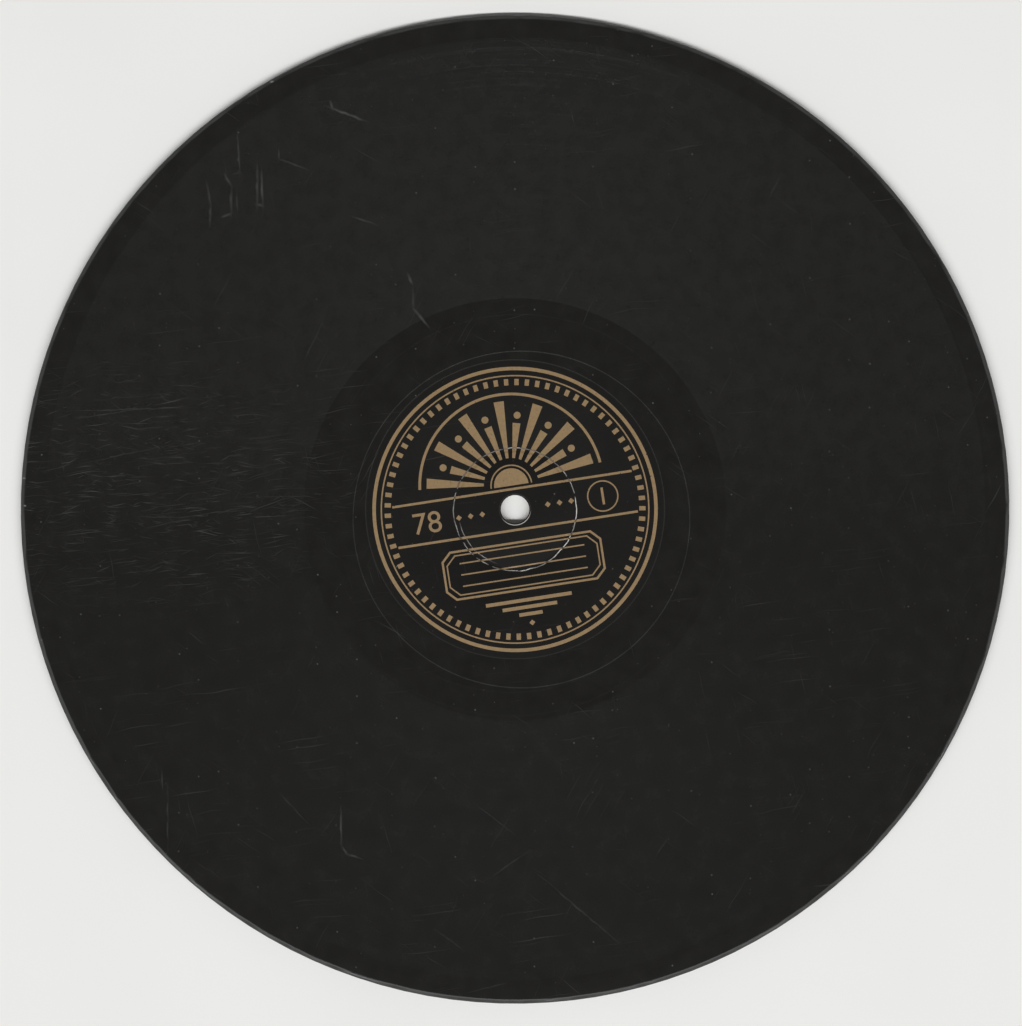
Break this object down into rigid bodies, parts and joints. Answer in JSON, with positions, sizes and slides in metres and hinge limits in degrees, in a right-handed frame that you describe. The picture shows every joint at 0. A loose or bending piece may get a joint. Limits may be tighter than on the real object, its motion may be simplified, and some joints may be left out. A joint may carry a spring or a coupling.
{
  "type": "shellac record",
  "caption": "Flat black shellac gramophone disc with a spindle hole, paper labels pressed in flush and a spiral groove on both sides, run out to an eccentric stop groove.",
  "frame": {"origin": "centre of the spindle hole at the underside, the face that lies on the turntable", "axes": "+Z up along the spindle axis, out of side A; +X to the right and +Y up as side A is seen in the picture"},
  "size_m": [0.251, 0.251, 0.0022],
  "materials": {
    "core_shellac": "matte",
    "kraft_paper": "matte",
    "facing_shellac": "satin",
    "label_paper": "matte"
  },
  "bodies": {
    "root": {"core": "core_shellac", "bonding_paper_a": "kraft_paper", "bonding_paper_b": "kraft_paper", "facing_a": "facing_shellac", "facing_b": "facing_shellac", "label_a": "label_paper", "label_b": "label_paper"}
  },
  "joints": []
}
